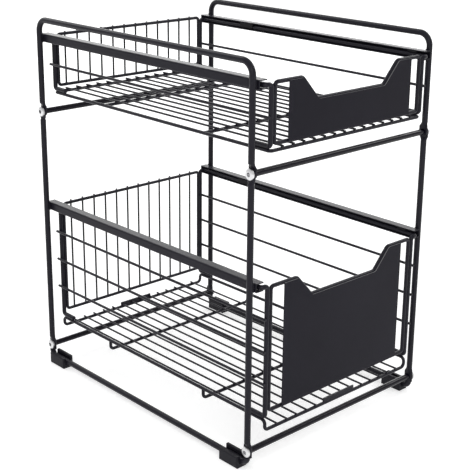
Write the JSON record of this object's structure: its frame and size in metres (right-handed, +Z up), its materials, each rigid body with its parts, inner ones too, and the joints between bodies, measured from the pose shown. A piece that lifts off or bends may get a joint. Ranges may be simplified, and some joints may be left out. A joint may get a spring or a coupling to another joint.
{
  "type": "under sink organizer",
  "caption": "Two-tier under sink organizer in black powder-coated steel: a bolted tube frame on plastic feet with pull-out wire baskets whose front plates have hand notches.",
  "frame": {"origin": "centre of the footprint on the floor, midway between the left and right feet and between the foremost and rearmost points with both baskets pushed in", "axes": "+Z up, +X to the object's right seen from its front, front of the object towards -Y"},
  "size_m": [0.299, 0.3957, 0.4609],
  "materials": {
    "powder_coat": "satin black powder coat",
    "black_plastic": "matte moulded",
    "screw_steel": "bright nickel plated"
  },
  "bodies": {
    "frame": {"upper_side_frame_left": "powder_coat", "lower_side_frame_left": "powder_coat", "upper_rail_left": "powder_coat", "lower_rail_left": "powder_coat", "upper_rail_guide_left": "black_plastic", "lower_rail_guide_left": "black_plastic", "foot_front_left": "black_plastic", "foot_back_left": "black_plastic", "upper_side_frame_right": "powder_coat", "lower_side_frame_right": "powder_coat", "upper_rail_right": "powder_coat", "lower_rail_right": "powder_coat", "upper_rail_guide_right": "black_plastic", "lower_rail_guide_right": "black_plastic", "foot_front_right": "black_plastic", "foot_back_right": "black_plastic", "cross_tube_middle_front": "powder_coat", "cross_tube_middle_back": "powder_coat", "cross_tube_bottom_front": "powder_coat", "cross_tube_bottom_back": "powder_coat", "frame_screws": "screw_steel"},
    "upper_basket": {"upper_basket_side_frame_left": "powder_coat", "upper_basket_side_wires_left": "powder_coat", "upper_basket_glide_left": "black_plastic", "upper_basket_side_frame_right": "powder_coat", "upper_basket_side_wires_right": "powder_coat", "upper_basket_glide_right": "black_plastic", "upper_basket_back_frame": "powder_coat", "upper_basket_back_uprights": "powder_coat", "upper_basket_front_frame": "powder_coat", "upper_basket_front_plate": "powder_coat", "upper_basket_floor_rim": "powder_coat", "upper_basket_floor_cross_wires": "powder_coat", "upper_basket_floor_wires": "powder_coat"},
    "lower_basket": {"lower_basket_side_frame_left": "powder_coat", "lower_basket_side_wires_left": "powder_coat", "lower_basket_glide_left": "black_plastic", "lower_basket_side_frame_right": "powder_coat", "lower_basket_side_wires_right": "powder_coat", "lower_basket_glide_right": "black_plastic", "lower_basket_back_frame": "powder_coat", "lower_basket_back_uprights": "powder_coat", "lower_basket_front_frame": "powder_coat", "lower_basket_front_plate": "powder_coat", "lower_basket_floor_rim": "powder_coat", "lower_basket_floor_cross_wires": "powder_coat", "lower_basket_floor_wires": "powder_coat", "lower_basket_floor_strip_front": "powder_coat", "lower_basket_floor_strip_back": "powder_coat"}
  },
  "joints": [
    {"name": "upper_basket_slide", "type": "slide", "parent": "frame", "child": "upper_basket", "axis": [0, -1, 0], "range_m": [0, 0.26]},
    {"name": "lower_basket_slide", "type": "slide", "parent": "frame", "child": "lower_basket", "axis": [0, -1, 0], "range_m": [0, 0.26]}
  ]
}
